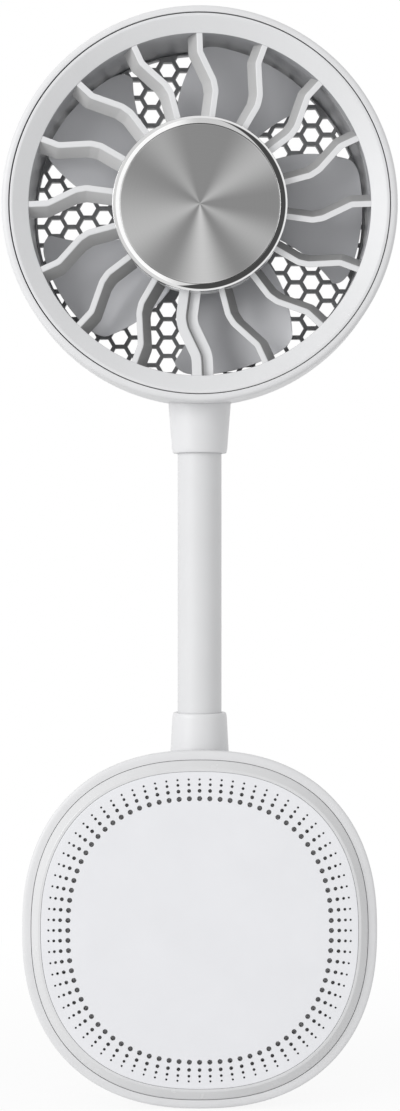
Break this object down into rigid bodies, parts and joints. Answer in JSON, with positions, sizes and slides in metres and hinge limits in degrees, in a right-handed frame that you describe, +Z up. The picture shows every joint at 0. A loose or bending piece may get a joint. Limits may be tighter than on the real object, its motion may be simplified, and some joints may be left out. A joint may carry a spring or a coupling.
{
  "type": "portable fan",
  "caption": "Portable fan: a round grilled head on a flexible neck over a rounded square battery pod with a perforated front cover, a charging socket and a side push button.",
  "frame": {"origin": "centre of the flat pad on the back of the pod", "axes": "+Z up along the straight neck to the head, +Y out of the pad behind the fan, so the fan blows towards -Y, +X to the right seen from the front"},
  "size_m": [0.1004, 0.0309, 0.2796],
  "materials": {
    "shell_white": "satin",
    "grille_white": "satin",
    "bezel_white": "gloss",
    "cover_white": "satin",
    "blade_grey": "satin",
    "mesh_grey": "matte",
    "chrome": "polished",
    "spun_metal": "spun",
    "sleeve_rubber": "matte",
    "pad_rubber": "matte",
    "steel": "satin",
    "magnet_black": "matte",
    "copper": "enamelled wire",
    "board_green": "gloss",
    "inner_black": "matte",
    "cell_wrap": "shrink wrap",
    "cable_black": "matte"
  },
  "bodies": {
    "pod": {"front_cover": "cover_white", "bezel_ring": "bezel_white", "dust_screen": "inner_black", "rear_shell": "shell_white", "back_pad": "pad_rubber", "battery_tray": "inner_black", "battery_cell_1": "cell_wrap", "battery_cell_2": "cell_wrap", "main_board": "board_green", "usb_socket": "steel", "switch_board": "board_green", "tact_switch": "inner_black", "pod_screw_1": "steel", "pod_screw_2": "steel", "pod_screw_3": "steel", "pod_screw_4": "steel", "lower_collar": "shell_white", "neck_ferrule_lower": "steel"},
    "button": {"power_button": "grille_white"},
    "link_1": {"neck_link_1": "steel"},
    "link_2": {"neck_link_2": "steel"},
    "link_3": {"neck_link_3": "steel"},
    "link_4": {"neck_link_4": "steel"},
    "link_5": {"neck_link_5": "steel"},
    "link_6": {"neck_link_6": "steel", "neck_sleeve": "sleeve_rubber", "neck_cable": "cable_black"},
    "link_7": {"neck_link_7": "steel"},
    "link_8": {"neck_link_8": "steel"},
    "link_9": {"neck_link_9": "steel"},
    "link_10": {"neck_link_10": "steel"},
    "link_11": {"neck_link_11": "steel"},
    "head": {"front_grille": "grille_white", "hub_trim_ring": "chrome", "hub_disc": "spun_metal", "head_shell": "shell_white", "rear_grille": "mesh_grey", "motor_mount": "inner_black", "stator_core": "steel", "stator_windings": "copper", "motor_board": "board_green", "bearing_front": "steel", "bearing_rear": "steel", "motor_screw_1": "steel", "motor_screw_2": "steel", "motor_screw_3": "steel", "upper_collar": "shell_white", "neck_ferrule_upper": "steel"},
    "rotor": {"impeller": "blade_grey", "rotor_bell": "steel", "rotor_magnet": "magnet_black", "motor_shaft": "steel"}
  },
  "joints": [
    {"name": "neck_bend_1", "type": "hinge", "parent": "pod", "child": "link_1", "pos_m": [0, -0.015, 0.057], "axis": [1, 0, 0], "range_deg": [-15, 15], "deforming": ["neck_sleeve", "neck_cable"]},
    {"name": "neck_lean_1", "type": "hinge", "parent": "link_1", "child": "link_2", "pos_m": [0, -0.015, 0.0626], "axis": [0, 1, 0], "range_deg": [-15, 15]},
    {"name": "neck_bend_2", "type": "hinge", "parent": "link_2", "child": "link_3", "pos_m": [0, -0.015, 0.0682], "axis": [1, 0, 0], "range_deg": [-15, 15]},
    {"name": "neck_lean_2", "type": "hinge", "parent": "link_3", "child": "link_4", "pos_m": [0, -0.015, 0.0738], "axis": [0, 1, 0], "range_deg": [-15, 15]},
    {"name": "neck_bend_3", "type": "hinge", "parent": "link_4", "child": "link_5", "pos_m": [0, -0.015, 0.0794], "axis": [1, 0, 0], "range_deg": [-15, 15]},
    {"name": "neck_lean_3", "type": "hinge", "parent": "link_5", "child": "link_6", "pos_m": [0, -0.015, 0.085], "axis": [0, 1, 0], "range_deg": [-15, 15]},
    {"name": "neck_bend_4", "type": "hinge", "parent": "link_6", "child": "link_7", "pos_m": [0, -0.015, 0.0906], "axis": [1, 0, 0], "range_deg": [-15, 15]},
    {"name": "neck_lean_4", "type": "hinge", "parent": "link_7", "child": "link_8", "pos_m": [0, -0.015, 0.0962], "axis": [0, 1, 0], "range_deg": [-15, 15]},
    {"name": "neck_bend_5", "type": "hinge", "parent": "link_8", "child": "link_9", "pos_m": [0, -0.015, 0.1018], "axis": [1, 0, 0], "range_deg": [-15, 15]},
    {"name": "neck_lean_5", "type": "hinge", "parent": "link_9", "child": "link_10", "pos_m": [0, -0.015, 0.1074], "axis": [0, 1, 0], "range_deg": [-15, 15]},
    {"name": "neck_bend_6", "type": "hinge", "parent": "link_10", "child": "link_11", "pos_m": [0, -0.015, 0.113], "axis": [1, 0, 0], "range_deg": [-15, 15]},
    {"name": "neck_lean_6", "type": "hinge", "parent": "link_11", "child": "head", "pos_m": [0, -0.015, 0.1186], "axis": [0, 1, 0], "range_deg": [-15, 15]},
    {"name": "fan_spin", "type": "hinge", "parent": "head", "child": "rotor", "pos_m": [0, -0.03, 0.184], "axis": [0, 1, 0], "continuous": true},
    {"name": "button_press", "type": "slide", "parent": "pod", "child": "button", "axis": [-1, 0, 0], "range_m": [0, 0.0004], "stiffness_N_per_m": 500, "springref_m": -0.001}
  ],
  "couplings": [
    {"joint": "neck_bend_2", "follows": "neck_bend_1", "ratio": 1},
    {"joint": "neck_lean_2", "follows": "neck_lean_1", "ratio": 1},
    {"joint": "neck_bend_3", "follows": "neck_bend_1", "ratio": 1},
    {"joint": "neck_lean_3", "follows": "neck_lean_1", "ratio": 1},
    {"joint": "neck_bend_4", "follows": "neck_bend_1", "ratio": 1},
    {"joint": "neck_lean_4", "follows": "neck_lean_1", "ratio": 1},
    {"joint": "neck_bend_5", "follows": "neck_bend_1", "ratio": 1},
    {"joint": "neck_lean_5", "follows": "neck_lean_1", "ratio": 1},
    {"joint": "neck_bend_6", "follows": "neck_bend_1", "ratio": 1},
    {"joint": "neck_lean_6", "follows": "neck_lean_1", "ratio": 1}
  ]
}
